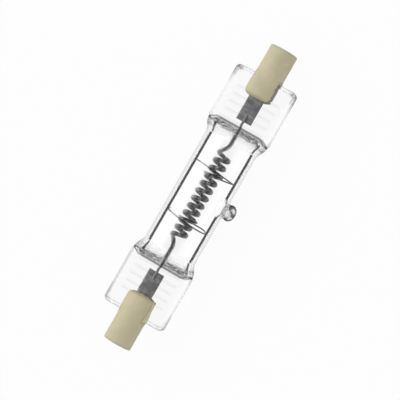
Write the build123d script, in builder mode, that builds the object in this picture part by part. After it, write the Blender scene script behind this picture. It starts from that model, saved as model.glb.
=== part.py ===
"""Double-ended linear halogen lamp: a clear quartz tube with a flat pinch seal at each end,
a coiled filament carried by two wire supports, foil seals, and slotted ceramic caps.

Millimetres. The lamp's axis is X and the pinch seals lie flat in XY. The exhaust tip points to -Y.
The origin is the light centre, on the axis half way between the two caps.
"""

import os
from math import cos, pi, sin, sqrt

from build123d import *

os.makedirs("parts", exist_ok=True)

# Filament: a close-wound primary coil, modelled at its outside diameter, wound again into open turns
coil_turns = 11
coil_pitch = 1.97
coil_diameter = 4.08
primary_diameter = 1.05
coil_offset = 0.36
leg_bend = 2.6
coil_sides = 8

# Round quartz tube
leg_reach = 3.87
tube_diameter = 13.2
bore_diameter = 10.75

# Shoulders, where the round tube was pressed flat
shoulder_length = 3.5
shoulder_overrun = 0.5
shoulder_margin = 0.05
flare_lead = 0.5
cavity_taper = 2.65
cavity_flare = 0.8
cavity_flare_power = 1.2
cavity_end_thickness = 1.4

# Flat pinch seals, ribbed on both faces
pinch_width = 15.9
pinch_thickness = 3.6
pinch_length = 13.3
pinch_root = 2.0
pinch_root_corner = 1.7
pinch_end_corner = 1.1
pinch_edge_radius = 0.7
rib_count = 5
rib_pitch = 1.96
rib_setback = 0.7
rib_length = 11.8
rib_width = 0.9
rib_height = 0.14
rib_slope = 35

# Exhaust tip, sealed off at mid-length on the edge of the tube
tip_offset = 0.1
tip_diameter = 3.95
tip_reach = 9.25
tip_crown = 1.4
tip_neck_diameter = 3.6
funnel_diameter = 4.9
funnel_throat = 3.3
funnel_reach = 6.85

# Leads and foils sealed in the pinches
lead_diameter = 0.65
lead_pin_depth = 1.0
leg_gap = 0.3
outer_lead_diameter = 0.8
foil_width = 4.0
foil_length = 8.5
foil_thickness = 0.05
foil_setback = 1.8
weld_length = 1.9
weld_flat = 0.1

# Wire supports: a turn on the coil, a spoke, and an arc against the bore
support_wire = 0.3
wire_sides = 8
support_clearance = 0.05
wrap_clearance = 0.03
wrap_turns = 0.94
ring_start_angle = 5
# Turn of the coil where the support's own turn starts, the arc's place from there in turns,
# its lean along Y and Z as shares of its radius, and the angle where it leaves the bore
SUPPORTS = {
    "left": (2 - 1 / 8, 0.28, 0.087, -0.106, 215),
    "right": (8 - 1 / 8, 0.84, 0.097, 0.019, 195),
}

# Ceramic caps
cap_length = 13.0
cap_overlap = 5.5
cap_diameter = 6.9
prong_diameter = 7.8
prong_length = 3.4
flank_length = 3.6
prong_corner = 1.4
cap_rim_radius = 0.3
cement_gap = 0.2
cement_end_gap = 0.3
cement_inset = 0.25

# Recessed end contacts
contact_recess = 1.55
recess_diameter = 4.0
head_diameter = 3.2
head_thickness = 0.9
contact_dome = 0.25
contact_clearance = 0.05
shank_diameter = 1.8
shank_length = 3.0
lead_cover = 0.4

# Stations along the axis, measured outwards from the light centre
coil_length = coil_turns * coil_pitch
half_body = coil_length / 2 + leg_reach
cavity_end = half_body + cavity_taper
crease = half_body + shoulder_length
flare_start = half_body - flare_lead
pinch_start = half_body + pinch_root
pinch_end = crease + pinch_length
foil_start = crease + foil_setback
foil_end = foil_start + foil_length
leg_end = cavity_end - leg_gap
cap_start = pinch_end - cap_overlap
cap_end = cap_start + cap_length
slot_end = pinch_end + cement_end_gap
contact_face = cap_end - contact_recess
seat_floor = contact_face - head_thickness

# Radii and half sizes
tube_radius = tube_diameter / 2
bore_radius = bore_diameter / 2
half_pinch = pinch_thickness / 2
half_slot = half_pinch + cement_gap
coil_radius = (coil_diameter - primary_diameter) / 2
foil_top = weld_flat - lead_diameter / 2
outer_lead_height = foil_top + outer_lead_diameter / 2 - weld_flat

SIDES = (("left", -1), ("right", 1))
tip_plane = Plane(origin=(tip_offset, 0, 0), x_dir=(1, 0, 0), z_dir=(0, 0, -1))
tip_axis = Axis((tip_offset, 0, 0), (0, -1, 0))


def station(sign, distance):
    """Plane across the lamp's axis, facing outwards, with its own x along Y."""
    return Plane(origin=(sign * distance, 0, 0), x_dir=(0, 1, 0), z_dir=(sign, 0, 0))


def round_over(share):
    """From 1 to 0 along a quarter wave."""
    return cos(share * pi / 2)


def strand(turn):
    """Place on the coil's centre line, by turns counted from its left end."""
    angle = 2 * pi * turn
    start = coil_offset - coil_length / 2
    return Vector(start + coil_pitch * turn, coil_radius * cos(angle), coil_radius * sin(angle))


def coil_helix(radius, first_turn, turn_count):
    """Helix on the axis that keeps step with the coil, starting at one of its turns."""
    helix = Helix(coil_pitch, turn_count * coil_pitch, radius, direction=(1, 0, 0), mode=Mode.PRIVATE)
    placed = helix.moved(Location((strand(first_turn).X, 0, 0), (360 * first_turn - 90, 0, 0)))
    add(placed)
    return placed


def finish(builder, name):
    """Label a finished piece and write it."""
    builder.part.label = name
    export_step(builder.part, f"parts/{name}.step")


# Filament: straight legs that slip over the inner leads, a bend at each end and the open coil between
with BuildPart() as filament:
    with BuildLine() as filament_path:
        turns = coil_helix(coil_radius, 0, coil_turns)
        left_bend = Spline(
            (strand(0).X - leg_bend, 0, 0), turns @ 0, tangents=((1, 0, 0), turns % 0)
        )
        right_bend = Spline(
            turns @ 1, (strand(coil_turns).X + leg_bend, 0, 0), tangents=(turns % 1, (1, 0, 0))
        )
        Line((-leg_end, 0, 0), left_bend @ 0)
        Line(right_bend @ 1, (leg_end, 0, 0))
    with BuildSketch(station(1, -leg_end)):
        RegularPolygon(primary_diameter / 2, coil_sides)
    sweep(path=filament_path.wires()[0])
    for side, sign in SIDES:
        with BuildSketch(station(sign, leg_end - lead_pin_depth)):
            Circle(lead_diameter / 2)
        extrude(amount=lead_pin_depth, mode=Mode.SUBTRACT)
finish(filament, "filament")

# Wire supports: a nearly full turn on the coil, a spoke, and an arc that leans a little in the bore
ring_radius = bore_radius - support_wire / 2 - support_clearance
wrap_radius = coil_diameter / 2 + support_wire / 2 + wrap_clearance
for side, (wrap_turn, ring_place, lean_y, lean_z, ring_end_angle) in SUPPORTS.items():
    ring_plane = Plane(
        origin=(strand(wrap_turn + ring_place).X, 0, 0), x_dir=(lean_y, 1, 0), z_dir=(1, -lean_y, -lean_z)
    )
    with BuildPart() as support:
        with BuildLine(ring_plane) as ring:
            CenterArc((0, 0), ring_radius, ring_start_angle, ring_end_angle - ring_start_angle)
        with BuildLine() as support_path:
            add(ring.line)
            wrap = coil_helix(wrap_radius, wrap_turn, wrap_turns)
            Spline(ring.line @ 1, wrap @ 0, tangents=(ring.line % 1, wrap % 0))
        with BuildSketch(Plane(origin=ring.line @ 0, z_dir=ring.line % 0)):
            RegularPolygon(support_wire / 2, wire_sides)
        sweep(path=support_path.wires()[0])
    finish(support, f"{side}_support")

# Inner lead, foil and outer lead of each seal: the leads are flattened where they are welded to the foil
sealed_metal = []
outer_leads = {}
for side, sign in SIDES:
    with BuildPart() as inner_lead:
        with BuildSketch(station(sign, leg_end - lead_pin_depth)):
            Circle(lead_diameter / 2)
        extrude(amount=foil_start + weld_length - leg_end + lead_pin_depth)
        with BuildSketch(station(sign, foil_start)):
            with Locations((0, sign * (foil_top - lead_diameter / 2))):
                Rectangle(2 * lead_diameter, lead_diameter)
        extrude(amount=2 * weld_length, mode=Mode.SUBTRACT)
    finish(inner_lead, f"{side}_inner_lead")

    with BuildPart() as foil:
        with BuildSketch(station(sign, foil_start)):
            with Locations((0, sign * (foil_top - foil_thickness / 2))):
                Rectangle(foil_width, foil_thickness)
        extrude(amount=foil_length)
    finish(foil, f"{side}_foil")

    with BuildPart() as outer_lead:
        with BuildSketch(station(sign, foil_end - weld_length)):
            with Locations((0, sign * outer_lead_height)):
                Circle(outer_lead_diameter / 2)
        extrude(amount=contact_face - lead_cover - foil_end + weld_length)
        with BuildSketch(station(sign, foil_end - 2 * weld_length)):
            with Locations((0, sign * (foil_top - outer_lead_diameter / 2))):
                Rectangle(2 * outer_lead_diameter, outer_lead_diameter)
        extrude(amount=2 * weld_length, mode=Mode.SUBTRACT)
    finish(outer_lead, f"{side}_outer_lead")
    outer_leads[side] = outer_lead.part
    sealed_metal += [inner_lead.part, foil.part, outer_lead.part]

# Quartz envelope: pinches first, then the round body, the shoulders and the tip, then everything hollow
with BuildPart() as envelope:
    for side, sign in SIDES:
        with BuildSketch(Plane.XY):
            with Locations((sign * (pinch_start + pinch_end) / 2, 0)):
                Rectangle(pinch_end - pinch_start, pinch_width)
        extrude(amount=half_pinch, both=True)
    corners = envelope.edges().filter_by(Axis.Z)
    fillet(corners.filter_by(lambda edge: abs(edge.center().X) < crease), pinch_root_corner)
    corners = envelope.edges().filter_by(Axis.Z)
    fillet(corners.filter_by(lambda edge: abs(edge.center().X) > pinch_end - pinch_edge_radius), pinch_end_corner)
    rims = envelope.faces().filter_by(Axis.Z).edges()
    fillet(rims, pinch_edge_radius)

    for side, sign in SIDES:
        for face_sign in (-1, 1):
            with BuildSketch(Plane(origin=(0, 0, face_sign * half_pinch), z_dir=(0, 0, face_sign))):
                for rib in range(rib_count):
                    with Locations((sign * (crease + rib_setback + rib * rib_pitch), 0)):
                        SlotOverall(rib_length, rib_width, rotation=90)
            extrude(amount=rib_height, taper=rib_slope)

    with BuildSketch(station(1, -flare_start)):
        Circle(tube_radius)
    extrude(amount=2 * flare_start)

    shoulder_width = pinch_width / 2 - shoulder_margin
    for side, sign in SIDES:
        for distance in (
            flare_start,
            half_body,
            half_body + shoulder_length / 4,
            half_body + shoulder_length / 2,
            crease - shoulder_length / 4,
            crease,
            crease + shoulder_overrun,
        ):
            spread = min((distance - flare_start) / (crease - flare_start), 1)
            pressed = max((distance - half_body) / shoulder_length, 0)
            half_width = tube_radius + (shoulder_width - tube_radius) * (spread + round_over(1 - spread)) / 2
            half_height = half_pinch + (tube_radius - half_pinch) * round_over(pressed)
            with BuildSketch(station(sign, distance)):
                Ellipse(half_width, half_height)
        loft()

    with BuildSketch(tip_plane):
        with BuildLine():
            crown = Spline(
                (tip_neck_diameter / 2, tube_radius),
                (tip_diameter / 2, tip_reach - tip_crown),
                (0, tip_reach),
                tangents=((0, 1), (-1, 0)),
            )
            Polyline(crown @ 0, (tip_neck_diameter / 2, bore_radius), (0, bore_radius), crown @ 1)
        make_face()
    revolve(axis=tip_axis)

    with BuildSketch(station(1, -flare_start)):
        Circle(bore_radius)
    extrude(amount=2 * flare_start, mode=Mode.SUBTRACT)
    half_cavity_end = cavity_end_thickness / 2
    for side, sign in SIDES:
        for distance in (
            flare_start,
            half_body,
            half_body + cavity_taper / 4,
            half_body + cavity_taper / 2,
            cavity_end - cavity_taper / 4,
            cavity_end,
        ):
            spread = ((distance - flare_start) / (cavity_end - flare_start)) ** cavity_flare_power
            pressed = max((distance - half_body) / cavity_taper, 0)
            half_width = bore_radius + cavity_flare * spread
            half_height = half_cavity_end + (bore_radius - half_cavity_end) * round_over(pressed)
            with BuildSketch(station(sign, distance)):
                Ellipse(half_width, half_height)
        loft(mode=Mode.SUBTRACT)

    mouth = sqrt(bore_radius**2 - (funnel_diameter / 2) ** 2)
    with BuildSketch(tip_plane):
        with BuildLine():
            wall = Bezier(
                (funnel_diameter / 2, mouth),
                (funnel_throat / 2, bore_radius),
                (funnel_throat / 2, funnel_reach),
                (0, funnel_reach),
            )
            Polyline(wall @ 1, (0, mouth), wall @ 0)
        make_face()
    revolve(axis=tip_axis, mode=Mode.SUBTRACT)

    for metal in sealed_metal:
        add(metal, mode=Mode.SUBTRACT)
finish(envelope, "quartz_envelope")

# Ceramic caps, end contacts and the cement that holds each cap on its pinch
for side, sign in SIDES:
    with BuildPart() as cap:
        with BuildSketch(Plane.XY):
            with BuildLine():
                flank = Spline(
                    (sign * (cap_start + prong_length), prong_diameter / 2),
                    (sign * (cap_start + prong_length + flank_length), cap_diameter / 2),
                    tangents=((sign, 0), (sign, 0)),
                )
                Polyline(
                    flank @ 1,
                    (sign * cap_end, cap_diameter / 2),
                    (sign * cap_end, 0),
                    (sign * cap_start, 0),
                    (sign * cap_start, prong_diameter / 2),
                    flank @ 0,
                )
            make_face()
        revolve(axis=Axis.X)
        ends = cap.faces().filter_by(GeomType.PLANE).sort_by(Axis.X)
        inner_end, outer_end = (ends[0], ends[-1]) if sign > 0 else (ends[-1], ends[0])
        fillet(inner_end.edges(), prong_corner)
        fillet(outer_end.edges(), cap_rim_radius)
        with BuildSketch(station(sign, cap_start)):
            Rectangle(2 * prong_diameter, 2 * half_slot)
        extrude(amount=slot_end - cap_start, mode=Mode.SUBTRACT)
        for floor, radius in (
            (slot_end, shank_diameter / 2 + contact_clearance),
            (seat_floor, head_diameter / 2 + contact_clearance),
            (contact_face, recess_diameter / 2),
        ):
            with BuildSketch(station(sign, floor)):
                Circle(radius)
            extrude(amount=cap_end - floor, mode=Mode.SUBTRACT)
    finish(cap, f"{side}_cap")

    with BuildPart() as contact:
        with BuildSketch(Plane.XY):
            with BuildLine():
                rim = (sign * (contact_face - contact_dome), head_diameter / 2)
                dome = TangentArc((sign * contact_face, 0), rim, tangent=(0, 1))
                Polyline(
                    dome @ 1,
                    (sign * seat_floor, head_diameter / 2),
                    (sign * seat_floor, shank_diameter / 2),
                    (sign * (seat_floor - shank_length), shank_diameter / 2),
                    (sign * (seat_floor - shank_length), 0),
                    dome @ 0,
                )
            make_face()
        revolve(axis=Axis.X)
        add(outer_leads[side], mode=Mode.SUBTRACT)
    finish(contact, f"{side}_contact")

    with BuildPart() as cement:
        with BuildSketch(station(sign, cap_start + prong_corner)):
            Circle(prong_diameter / 2 - cement_inset)
        extrude(amount=slot_end - cap_start - prong_corner)
        with BuildSketch(station(sign, cap_start)):
            Rectangle(2 * prong_diameter, 2 * half_slot)
        extrude(amount=cap_length, mode=Mode.INTERSECT)
        add(envelope.part, mode=Mode.SUBTRACT)
        for metal in sealed_metal:
            add(metal, mode=Mode.SUBTRACT)
    finish(cement, f"{side}_cement")
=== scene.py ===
"""Looks of the linear halogen bulb: clear quartz, coiled filament, foil seals and ceramic caps on white.

Sizes are in millimetres, in the lamp's own frame, and become metres where a mesh is made.
"""

from functools import reduce
from math import atan2, cos, pi, radians, sin, sqrt

import bmesh
import bpy
import numpy as np
from mathutils import Matrix, Vector, noise


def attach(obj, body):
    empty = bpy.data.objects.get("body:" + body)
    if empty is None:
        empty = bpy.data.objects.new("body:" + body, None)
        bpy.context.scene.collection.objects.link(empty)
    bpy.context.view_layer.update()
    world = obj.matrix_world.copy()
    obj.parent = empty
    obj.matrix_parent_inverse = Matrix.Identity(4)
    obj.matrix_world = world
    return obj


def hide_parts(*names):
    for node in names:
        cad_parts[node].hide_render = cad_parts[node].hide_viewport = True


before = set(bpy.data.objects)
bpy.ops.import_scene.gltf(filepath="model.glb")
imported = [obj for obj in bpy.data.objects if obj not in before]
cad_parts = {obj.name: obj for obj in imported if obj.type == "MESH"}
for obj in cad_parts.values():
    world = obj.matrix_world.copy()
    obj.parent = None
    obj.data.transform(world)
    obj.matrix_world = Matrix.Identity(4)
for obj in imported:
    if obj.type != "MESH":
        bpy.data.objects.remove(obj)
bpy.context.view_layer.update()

MM = 0.001
SIDES = (("left", -1), ("right", 1))
FAR, BESIDE = 60, 9

# How the camera sees the lamp: its lean in the picture and its roll about its own axis
VIEW_LEAN = radians(29.87)
VIEW_ROLL = radians(14)

# Quartz tube, shoulders and pinches; places are distances from mid-length
TUBE_RADIUS = 6.6
BORE_RADIUS = 5.375
HALF_BODY = 14.705
SHOULDER = 3.5
CREASE = HALF_BODY + SHOULDER
FLARE_START = 14.2
FLARE_SPREAD = 4.5
SHOULDER_WIDTH = 7.9
SHOULDER_SQUARE = 2.2
SHOULDER_OVERRUN = 1.2
CREASE_BLEND = 0.5
CAVITY_FLARE = 0.75
CAVITY_FLARE_POWER = 1.2
CAVITY_FLARE_LIMIT = 1.3
CAVITY_CLOSE = 16.5
CAVITY_END = 17.35
CAVITY_NARROWING = 0.5
CAVITY_LEAST = 0.02
CAVITY_WRINKLE = 0.02
PINCH_START = 16.705
PINCH_END = 31.505
HALF_WIDTH = 7.95
HALF_THICKNESS = 1.8
EDGE_RADIUS = 0.7
ROOT_CORNER = 1.7
END_CORNER = 1.1
RIBS = [18.905 + 1.96 * rib for rib in range(5)]
RIB_HALF_WIDTH = 0.42
RIB_HEIGHT = 0.13
RIB_END = (5.9, 0.35)

# Rings of the quartz, with the (end, step) of their places along the lamp
RING_POINTS = 160
TUBE_STEP = 0.8
PINCH_STEPS = ((18.8, 0.075), (27.3, 0.14), (30.4, 0.2))
CAVITY_STEPS = ((CAVITY_CLOSE, 0.1), (CAVITY_END, 0.035))
END_STEPS = 18

# Exhaust tip: half its opening in ring points, and (reach, height) outlines of the nub and of the funnel under it
TIP_OFFSET = 0.1
TIP_SHIFT_REACH = 12
TIP_CELLS, FUNNEL_CELLS = 12, 14
TIP_RINGS, FUNNEL_RINGS = 40, 36
PATCH_RINGS = 8
WALL_SHARE = 0.45
TIP_OUTLINE = [(2.6, 0), (2.25, 0.05), (1.95, 0.22), (1.82, 0.5), (1.9, 0.85), (1.97, 1.25), (1.72, 1.95), (1.0, 2.5),
               (0, 2.65)]
FUNNEL_OUTLINE = [(2.7, 0), (2.35, 0.07), (1.95, 0.35), (1.65, 0.75), (1.45, 1.1), (1.05, 1.34), (0.5, 1.43), (0, 1.45)]

# Painted shade on the quartz: grey marks that stand in for the dark the glass shows by bending light, strengths from 0
# to 1; a pair is the place of a fade or line and its length or width
RIB_GREY = 0.075
CREASE_GREY = 0.95
CREASE_SHIFT = 0.15
CREASE_WIDTH = 0.22
CREASE_BEND = 1.1
CREASE_TURN = (5.6, 2.2)
SHOULDER_GREY = 0.8
SHOULDER_SPAN = (14.8, 18.6)
STREAK_SIZE = 0.4
LOBE_INNER = (0.3, 1.5)
LOBE_OUTER = (7.0, 2.0)
BAND_INNER = (16.35, 0.5)
BAND_OUTER = (18.1, 0.35)
FLANK_GREY = 0.4
FLANK_SIDE = (5.2, 0.8)
FLANK_PLACE = (16.15, 0.55)
END_GREY = 0.9
END_REACH = 3.5
END_LINE = (0.75, 0.12)
END_RIM = (0.1, 0.1)
CORNER_GREY = {-1: 0.25, 1: 1.0}
CORNER_BACK = (0.7, 0.5)
CORNER_INSET = (0.7, 0.4)
STRIPE_GREY = 0.6
STRIPE_INSET = (0.25, 0.2)
STRIPE_START = (0.9, 0.3)
STRIPE_END = (3.2, 0.8)
EDGE_GREY = 0.22
EDGE_INSET = (0.16, 0.12)
EDGE_START = (CREASE, 0.8)
HOLLOW_GREY = 0.95
HOLLOW_SIDE = (0.8, 0.06)

# Calm marks on the quartz, where it bends less light
SHOULDER_CALM = (14.35, 0.12)
SHOULDER_CALM_END = (19.0, 0.6)
EDGE_CALM = (6.9, 0.5)
EDGE_CALM_START = (CREASE, 0.6)
END_CALM = (PINCH_END - 1.0, 0.3)
NUB_CALM = 0.75

# Painted shade of the folds of the melted nub, placed as the camera sees them: (along, out from the middle, length,
# width, grey)
NUB_MIDDLE = (0.083, 7.83)
NUB_HALF_SIZE = (1.98, 1.34)
NUB_FOLD_SHADE = [
    (1.6, -0.39, 0.26, 0.42, 2.4),
    (1.3, -0.55, 0.34, 0.3, 2.4),
    (1.0, -0.6, 0.34, 0.24, 2.2),
    (0.36, 0.02, 0.22, 0.22, 1.2),
    (0.12, 0.3, 0.2, 0.2, 1.0),
    (-0.2, 0.61, 0.34, 0.3, 2.4),
    (-1.1, -0.24, 0.17, 0.17, 0.6),
    (-1.7, -0.4, 0.26, 0.34, 2.0),
    (0.2, -1.26, 1.2, 0.18, 0.35),
    (1.97, -2.5, 0.14, 0.3, 0.6),
    (1.87, -1.95, 0.15, 0.28, 0.8),
    (1.6, -1.5, 0.2, 0.22, 0.5),
    (-1.2, -1.2, 0.22, 0.2, 0.5),
    (-1.6, -1.65, 0.2, 0.24, 0.7),
    (-1.97, -2.2, 0.16, 0.28, 0.8),
    (-2.25, -2.5, 0.16, 0.2, 0.6),
]

# Filament and its supports
COIL_TURNS = 11
COIL_PITCH = 1.97
COIL_RADIUS = 1.54
COIL_OFFSET = 0.36
COIL_SLACK = 0.3
COIL_STEPS = 48
LEG_BEND = 2.6
LEG_END = 16.4
LEG_PULL = 3.2
LEG_STEPS = 24
PRIMARY_RADIUS = 0.43
PRIMARY_PITCH = 0.33
PRIMARY_WIRE = 0.13
SUPPORT_WIRE = 0.165
SUPPORT_STEP = 0.12
RING_RADIUS = 5.175
RING_START = 5
RING_STEPS = 60
WRAP_RADIUS = 2.26
WRAP_LEAD = 0.7
WRAP_TURNS = 0.94
WRAP_STEPS = 40
SPOKE_PULL = 4.0
SPOKE_STEPS = 30
# (first turn of the wrap, arc's place in turns after it, the arc's lean in y and z, the arc's end in degrees)
SUPPORTS = {
    "left": (2 - 1 / 8, 0.42, 0.125, -0.106, 215),
    "right": (8 - 1 / 8, 0.94, 0.097, 0.019, 195),
}

# Foils
FOIL_START = 20.005
FOIL_END = 28.505
FOIL_HALF_WIDTH = 2.0
FOIL_MIDDLE = -0.25
FOIL_HALF_THICKNESS = 0.025
FOIL_FEATHER = 0.5
FOIL_WELD = 0.8
FOIL_CRINKLE = 0.05
FOIL_FINE_CRINKLE = 0.015
FOIL_GRID = (72, 40)

# Ceramic caps
CAP_START = 26.005
CAP_END = 39.005
CAP_RADIUS = 3.45
PRONG_RADIUS = 3.9
PRONG_LENGTH = 3.4
FLANK_LENGTH = 3.6
LATHE_STEPS, FLANK_STEPS, ROUND_STEPS = 96, 16, 8
PRONG_CORNER = 1.4
RIM_RADIUS = 0.3
HALF_SLOT = 2.0
SLOT_END = 31.805
RECESS_RADIUS = 2.0
RECESS_FLOOR = 37.455
SEAT_RADIUS = 1.65
SEAT_FLOOR = 36.555
SHANK_RADIUS = 0.95
CAP_VOXEL = 0.11
CAP_SOFTEN = 3

# Cement, with its (place, height over the cap's side) at each end; at the left it has run out on the pinch, up to limits
CEMENT_SETBACK = 0.3
CEMENT_GAP = 0.02
CEMENT_BITE = 0.03
CEMENT_PROUD = {
    -1: ((26.3, 0.6), (26.7, 0.5), (27.4, 0.36), (29.4, 0.55), (31.3, 0.95), (31.6, 0.0)),
    1: ((26.3, -0.3), (30.0, -0.22), (30.9, 0.0)),
}
RUN_OUT_LIMITS = [
    ((-FAR, 3.25, -BESIDE), (0, BESIDE, BESIDE)),
    ((-27.0, 2.7, -BESIDE), (0, BESIDE, BESIDE)),
    ((-FAR, -BESIDE, -BESIDE), (0, -3.25, 0.1)),
]
CEMENT_VOXEL = 0.07
CEMENT_SOFTEN = 2


class Socket:
    """One output of a node; arithmetic on it adds Math nodes to the same tree."""

    def __init__(self, tree, output):
        self.tree = tree
        self.output = output

    def maths(self, operation, first, second):
        return self.tree.node("ShaderNodeMath", {"operation": operation}, {0: first, 1: second})

    def __add__(self, other):
        return self.maths("ADD", self, other)

    def __sub__(self, other):
        return self.maths("SUBTRACT", self, other)

    def __rsub__(self, other):
        return self.maths("SUBTRACT", other, self)

    def __mul__(self, other):
        return self.maths("MULTIPLY", self, other)

    def __truediv__(self, other):
        return self.maths("DIVIDE", self, other)

    __radd__ = __add__


class Tree:
    """A node tree, of a material, the world or a Geometry Nodes group."""

    def __init__(self, node_tree):
        self.nodes = node_tree.nodes
        self.links = node_tree.links

    def node(self, kind, settings=None, inputs=None, output=0):
        """Adds a node: its settings first, then the values or links of its sockets."""
        made = self.nodes.new(kind)
        for name, value in (settings or {}).items():
            if name == "stops":
                set_stops(made.color_ramp, value)
            else:
                setattr(made, name, value)
        for name, value in (inputs or {}).items():
            if isinstance(value, Socket):
                self.links.new(value.output, made.inputs[name])
            else:
                made.inputs[name].default_value = value
        return Socket(self, made.outputs[output]) if len(made.outputs) else None

    def coordinates(self):
        return self.node("ShaderNodeTexCoord", output="Object")

    def along(self, span):
        """Distance from mid-length along the lamp, as a share of a span in millimetres."""
        place = self.node("ShaderNodeSeparateXYZ", None, {0: self.coordinates()})
        return self.node("ShaderNodeMath", {"operation": "ABSOLUTE"}, {0: place}) / (span * MM)

    def across(self, span):
        """Place across the lamp, 0 to 1 over a span in millimetres with the axis in the middle."""
        return self.node("ShaderNodeSeparateXYZ", None, {0: self.coordinates()}, output="Y") / (span * MM) + 0.5

    def noise(self, scale, detail=2.0, roughness=0.5, stretch=(1, 1, 1)):
        """Noise on Object coordinates, with features of about 1 / scale metres."""
        place = self.node("ShaderNodeMapping", None, {"Vector": self.coordinates(), "Scale": stretch})
        return self.node("ShaderNodeTexNoise", None, {
            "Vector": place, "Scale": scale, "Detail": detail, "Roughness": roughness,
        })

    def ramp(self, factor, *stops):
        """Runs a factor through a ramp of (place, colour or grey level) stops."""
        return self.node("ShaderNodeValToRGB", {"stops": stops}, {"Fac": factor})

    def blend(self, factor, first, second):
        """Mixes two colours."""
        return self.node("ShaderNodeMix", {"data_type": "RGBA"}, {0: factor, 6: first, 7: second}, output=2)

    def bump(self, height, depth_mm, strength=1.0):
        return self.node("ShaderNodeBump", None, {
            "Height": height, "Distance": depth_mm * MM, "Strength": strength,
        })


def set_stops(color_ramp, stops):
    while len(color_ramp.elements) < len(stops):
        color_ramp.elements.new(1.0)
    for element, (place, colour) in zip(color_ramp.elements, stops):
        element.position = place
        element.color = (*colour, 1.0) if isinstance(colour, tuple) else (colour, colour, colour, 1.0)


def new_material(name):
    """An empty material and its tree."""
    material = bpy.data.materials.new(name)
    material.use_nodes = True
    material.node_tree.nodes.clear()
    return material, Tree(material.node_tree)


def principled(name, make_inputs):
    """A Principled material whose socket values come from make_inputs(tree)."""
    material, tree = new_material(name)
    shader = tree.node("ShaderNodeBsdfPrincipled", None, make_inputs(tree))
    tree.node("ShaderNodeOutputMaterial", None, {"Surface": shader})
    return material


QUARTZ_SHADER = {"Roughness": 0.0, "IOR": 1.458, "Transmission Weight": 1.0}
CALM_CLEAR = 0.9


def mark(tree, name):
    """A mark that the quartz carries at each point: one for its painted shade, calm for less bending of light."""
    return tree.node("ShaderNodeAttribute", {"attribute_name": name}, output="Fac")


def quartz_material(name, shade_of, rim=None):
    """Clear quartz with painted shade, a near-black shader mixed in where shade_of(tree, facing) says so, and a base
    colour that is darker edge on; a rim, edge on, bends less light.
    """
    material, tree = new_material(name)
    facing = tree.node("ShaderNodeLayerWeight", None, {"Blend": 0.5}, output="Facing")
    calm = mark(tree, "calm")
    if rim:
        calm = calm.maths("MAXIMUM", calm, tree.ramp(facing, *rim))
    clear = tree.node("ShaderNodeBsdfPrincipled", None, {
        # Painted shade: the glass's base colour is darker edge on
        "Base Color": tree.ramp(facing, (0.8, 1.0), (1.0, 0.6)),
        "Alpha": 1 - calm * CALM_CLEAR,
        **QUARTZ_SHADER,
    })
    # A near-black shader, mixed in as painted shade
    dark = tree.node("ShaderNodeBsdfPrincipled", None, {"Base Color": (0.004, 0.004, 0.004, 1.0), "Roughness": 0.6})
    mix = tree.node("ShaderNodeMixShader", None, {0: shade_of(tree, facing), 1: clear, 2: dark})
    tree.node("ShaderNodeOutputMaterial", None, {"Surface": mix})
    return material


def outer_painted_shade(tree, facing):
    """Painted shade of the pressed and sealed places, stronger edge on, and of the rim of tube, shoulder and pinch."""
    pressed = mark(tree, "press") * tree.ramp(facing, (0.3, 0.7), (0.85, 1.0))
    # Painted grey on the rims, stronger at some places along the lamp
    rim = tree.ramp(tree.along(PINCH_END), (0.43, 0.15), (0.52, 0.3), (0.575, 0.36), (0.62, 0.14), (0.84, 0.12),
                    (0.89, 0.4), (0.96, 0.4), (1.0, 0.2))
    return pressed + rim * tree.ramp(facing, (0.42, 0.0), (0.9, 1.0))


def wall_shade(tree, facing):
    """Painted shade: a dark line of the thick wall where the bore turns edge on, seen from the glass or from the
    hollow.
    """
    in_glass = tree.node("ShaderNodeNewGeometry", output="Backfacing")
    from_glass = tree.ramp(facing, (0.236, 0.0), (0.248, 1.0), (0.306, 1.0), (0.324, 0.0))
    from_bore = tree.ramp(facing, (0.7, 0.0), (0.82, 1.0))
    flatter = tree.ramp(tree.along(PINCH_END), (0.456, 0.0), (0.486, 0.14), (0.52, 0.26))
    flared = tree.ramp(facing + flatter, (0.62, 0.0), (0.74, 1.0))
    straight = in_glass * from_glass + (1 - in_glass) * from_bore
    calm = mark(tree, "calm")
    shade = straight * tree.ramp(calm, (0.5, 1.0), (1.0, 0.0)) + flared * tree.ramp(calm, (0.0, 0.0), (0.5, 1.0))
    return shade * (1 - mark(tree, "press"))


def tungsten_painted_light(tree):
    """Drawn tungsten with painted light and shade: its colour is lighter and darker by its place across the lamp."""
    grain = tree.noise(9000, 3.0)
    patches = tree.noise(700, 2.0)
    place = tree.across(6.0) + (grain - 0.5) * 0.08
    # Painted light and shade: lighter and darker bands across the coil, with dark lines and spots
    light = tree.ramp(place, (0.15, 0.46), (0.233, 0.4), (0.31, 0.07), (0.383, 0.3), (0.458, 0.46), (0.542, 0.12),
                      (0.625, 0.46), (0.717, 0.68), (0.85, 0.6))
    return {
        "Base Color": tree.blend(tree.ramp(patches, (0.4, 0.0), (0.7, 0.5)), light, (0.16, 0.16, 0.16, 1.0)),
        "Metallic": 1.0,
        "Roughness": tree.ramp(grain, (0.2, 0.2), (0.8, 0.36)),
    }


def support_painted_highlights(tree):
    """Thin bright wire with painted highlights and painted dark reflections: its colour is lighter and darker by its
    place across the lamp.
    """
    grain = tree.noise(5000, 2.0)
    return {
        # Painted highlights and painted dark reflections, by place across the lamp
        "Base Color": tree.ramp(tree.across(12.0), (0.1, 0.05), (0.2, 0.14), (0.31, 0.06), (0.36, 0.02), (0.5, 0.02),
                                (0.57, 0.4), (0.72, 0.4), (0.76, 0.02)),
        "Metallic": 1.0,
        "Roughness": tree.ramp(grain, (0.2, 0.3), (0.8, 0.45)),
    }


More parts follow.
